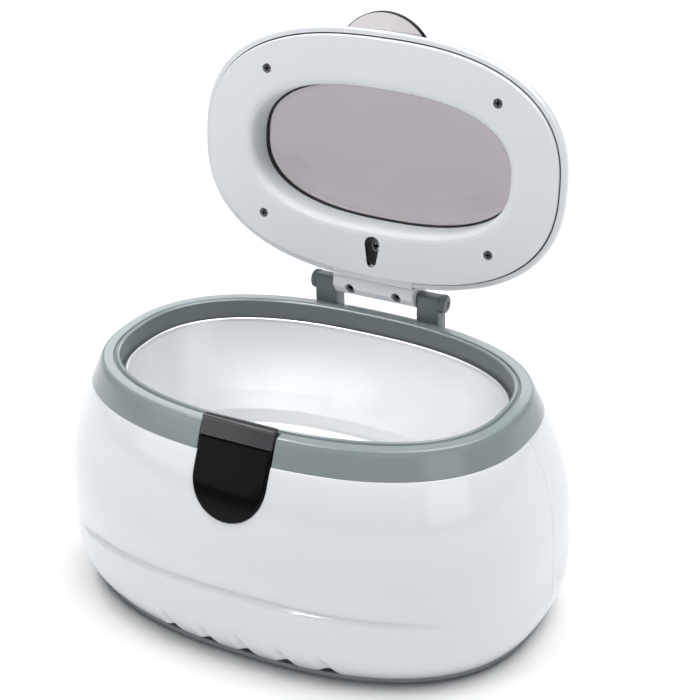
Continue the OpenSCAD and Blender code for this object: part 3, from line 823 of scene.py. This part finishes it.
def make_button():
    half = button_high.x
    top = button_high.z
    y1 = button_high.y
    outline = rounded([(*front(6.1, 0.75), 0.25), (*front(12.0, 0.75), 0.5),
                       (y1 - 3.5, top - 0.3, 0.5), (y1 - 2.9, top, 0.4), (y1 - 2.1, top, 0.2),
                       (y1 - 1.9, top - 0.6, 0.1), (y1 - 1.3, top - 0.6, 0.1),
                       (y1 - 1.1, top, 0.2), (y1 - 0.4, top, 0.3), (y1, top - 0.4, 0.3),
                       (y1, top - 1.5, 0.2), (*front(11.2, -1.6), 0.4),
                       (*front(6.1, -1.6), 0.2)], steps=4)
    button = prism("button", outline, -half, half, BUTTON, bevel=0.2, steps=2)
    stand_for(button, "button", "button_grey", "power_button")


# ---- lid ----


def make_lid():
    size = (LID_A, LID_B, LID_POWER)
    shell = [(0.6, 1.5, 0.1), (0, 2.5, 0.8), (0.2, 4.6, 3), (1.2, 7.6, 5), (3.4, 11, 5),
             (7, 13.8, 6), (12, 15.2, 9), (18, 15.9, 6), (21.4, 15.9, 0.6), (22, 15.4, 0.3),
             (22, 14.5, 0.1), (18.6, 14.4, 0.5), (12, 13.4, 4), (7.6, 11.9, 4), (4.6, 9.3, 4),
             (3, 6.5, 3), (2.2, 3.5, 1), (2.2, 1.5, 0.1)]
    outside = oval_skin("lid_cover", rounded(shell), size, WHITE, LID, count=512)
    tab_slot = block((-18.9, -54, 3.4), (18.9, -43, 6.0), LID)
    hinge_notch = block((-18.2, 46, -1), (18.2, 53, 2.5), LID)
    carve(outside, [tab_slot, hinge_notch])
    side = [(43, 12.8, 0), (60.6, 12.8, 0.8), (60.6, 15.4, 0.8), (43, 15.4, 0)]
    arm = prism("arm", rounded(side, steps=4), -18, 18, WHITE, LID, bevel=0.4)
    tubes = []
    spots = [(x, y, 2.0) for x, y in four(LID_SCREW_AT)]
    for x, y, z in spots + [(0, CENTRE_SCREW_Y, 5.5)]:
        tube = [(1.22, z), (1.22, 14), (3, 14), (3, z)]
        tubes.append(lathe("tube", tube, WHITE, LID @ at(x, y), 32))
    stand_for(join("lid_cover", [outside, arm] + tubes), "lid", "white_shell", "lid_shell")

    liner = [(2.75, 0.45, 0.2), (2.75, 2, 0.1), (20, 2, 0.5), (21.2, 3.2, 0.8),
             (21.7, 11.3, 0.1), (23.3, 11.3, 0.1), (22.9, 3, 3.5), (22.3, 1.3, 1.2),
             (20.9, 0.25, 1.2), (19.4, 0, 1.5), (3.2, 0, 0.2)]
    inside = oval_skin("lid_liner_face", rounded(liner, steps=7), size, LINER, LID, count=512)
    # The opening's walls take the cutter's near-black: painted shade.
    carve(inside, [teardrop()], lined=True)
    carve(inside, [drill(2.0, -1, 0.9, LID @ at(x, y)) for x, y in four(LID_SCREW_AT)])
    side = [(44, 1.3), (50.9, 1.3), (50.9, 2.4), (44, 2.4)]
    ledge = prism("ledge", side, -18, 18, LINER, LID, bevel=0.2, steps=2)
    stand_for(join("lid_liner_face", [inside, ledge]), "lid", "liner_white", "lid_liner")

    glass = [(50.4, 16.5, 0), (46, 16.4, 2), (34, 15.9, 5), (26, 14.9, 4), (23.9, 14.1, 0.5),
             (23.7, 12.5, 0.2), (19.2, 12.5, 0.1), (19.2, 14.2, 0.1), (22.3, 14.3, 0.2),
             (22.5, 15.8, 0.5), (26, 16.8, 4), (34, 17.8, 5), (46, 18.3, 2), (50.4, 18.35, 0)]
    section = rounded(glass, closed=False)
    window = oval_skin("window", section, size, SMOKED, LID, count=256, closed=False)
    stand_for(window, "lid", "smoked", "lid_window")
    ring = [(19.6, 11.3, 0.1), (19.6, 12.5, 0.1), (24.1, 12.5, 0.3), (24.1, 11.3, 0.3)]
    seal = oval_skin("window_gasket", rounded(ring, steps=3), size, SEAL, LID, count=256)
    stand_for(seal, "lid", "seal_black", "window_seal")
    make_tab()


def teardrop():
    """Cutter for the drop-shaped opening, whose walls get a near-black painted shade."""
    drop = []
    for radius, middle, start in ((3.4, 34.9, 1), (2.1, 42.3, 0)):
        for i in range(21):
            t = math.pi * (start + i / 20)
            drop.append((radius * math.cos(t), middle + radius * math.sin(t)))
    points = [(x, y, z) for z in (-1, 3) for x, y in drop]
    faces = grid_faces(2, len(drop), False)
    faces += [tuple(range(len(drop))), tuple(range(len(drop), 2 * len(drop)))]
    return make("teardrop", points, faces, RECESS_SHADE, LID)


def make_tab():
    """Finger tab: a slice of a disc, clear on its faces and dark along its thick edge."""
    radius, centre, back = 21.7, -36.6, -46.0
    reach = math.acos((centre - back) / radius)
    arc = [math.pi * 1.5 - reach + 2 * reach * i / 96 for i in range(97)]
    outline = [(radius * math.cos(t), centre + radius * math.sin(t)) for t in arc]
    count = len(outline)
    layers = ((3.5, 0.985), (3.7, 1), (5.7, 1), (5.9, 0.985))
    ring = [(x * k, centre + (y - centre) * k, z) for z, k in layers for x, y in outline]
    faces = grid_faces(4, count, False) + [tuple(range(count)), tuple(range(3 * count, 4 * count))]
    tab = make("finger_tab", ring, faces, TAB_FACE, LID)
    tab.data.materials.append(TAB_EDGE)
    for face in tab.data.polygons:
        if len(face.vertices) == 4:
            face.material_index = 1
    stand_for(tab, "lid", "smoked", "lift_tab")


def make_hinge():
    axis_y, axis_z = LID_REACH, LINER_DROP
    arc = [(axis_y + 3.9 * math.cos(t), axis_z + 3.9 * math.sin(t))
           for t in (math.pi * i / 24 for i in range(13))]
    corners = [(51.2, 1.8, 0.3), (55.6, 1.8, 3), (59.3, 4.9, 3), (60.8, axis_z, 0)]
    outline = rounded(corners, closed=False, steps=8)
    outline = [(51.2, 2.0)] + outline[1:] + arc + [(51.2, 12.8)]
    barrel = prism("barrel", outline, -18.2, 18.2, WHITE, LID, bevel=0.3)
    cutters = []
    for side in SIGNS:
        pin_bore = LID @ at(0, axis_y, axis_z) @ along((side, 0, 0))
        cutters.append(drill(2.06, 12.4, 25, pin_bore))
        screw_bore = LID @ at(side * BARREL_SCREW_X, BARREL_SCREW_Y)
        cutters.append(drill(2.1, -1, 5.2, screw_bore))
    carve(barrel, cutters)
    stand_for(barrel, "lid", "white_shell", "hinge_barrel")


def cross_screws(name, spots, head, height, shank, length, material, slot, node, dish=0.0):
    """Cross-head screws on the lid. spots are (x, y, z) of the heads' tops, facing -Z."""
    made = []
    for x, y, z in spots:
        corners = [(0, 0, 0), (head * 0.75, dish, 0.3), (head, height * 0.35, 0.3),
                   (head, height, 0.1), (shank, height, 0.1), (shank, length - 0.8, 0.2),
                   (0.2, length, 0.1), (0, length, 0)]
        place = LID @ at(x, y, z)
        screw = lathe("screw", rounded(corners, closed=False, steps=3), material, place, 40)
        arm, width, depth = head * 0.62, head * 0.2, height * 0.75
        slots = [block((-arm, -width, -1), (arm, width, depth), place),
                 block((-width, -arm, -1), (width, arm, depth * 0.98), place)]
        # The slots' walls and floors take the cutters' black: painted shade in the cross recesses.
        for cutter in slots:
            carve(screw, [cutter], lined=True)
        made.append(screw)
    stand_for(join(name, made), "lid", slot, node)


def make_screws():
    corners = [(x, y, 0.1) for x, y in four(LID_SCREW_AT)]
    cross_screws("cover_screws", corners, 1.8, 0.8, 1.2, 9, DARK_SCREW,
                 "screw_dark", "lid_screws", 0.1)
    middle = [(0, CENTRE_SCREW_Y, 4.1)]
    cross_screws("middle_screw", middle, 1.9, 1.4, 1.2, 7, ZINC,
                 "screw_bright", "centre_screw", 0.2)
    barrel = [(side * BARREL_SCREW_X, BARREL_SCREW_Y, 3.8) for side in SIGNS]
    cross_screws("hinge_screws", barrel, 1.9, 1.4, 1.1, 11, DARK_SCREW,
                 "screw_dark", "barrel_screws", 0.2)


def dress_inner():
    """Gives the CAD nodes that stay a better material and changes nothing else about them."""
    for node, material in INNER.items():
        for slot in frame["nodes"][node].material_slots:
            slot.material = material


make_camera()
make_stage()
make_housing()
make_base()
make_trim()
make_tank()
make_gland()
make_panel()
make_button()
make_lid()
make_hinge()
make_screws()
dress_inner()
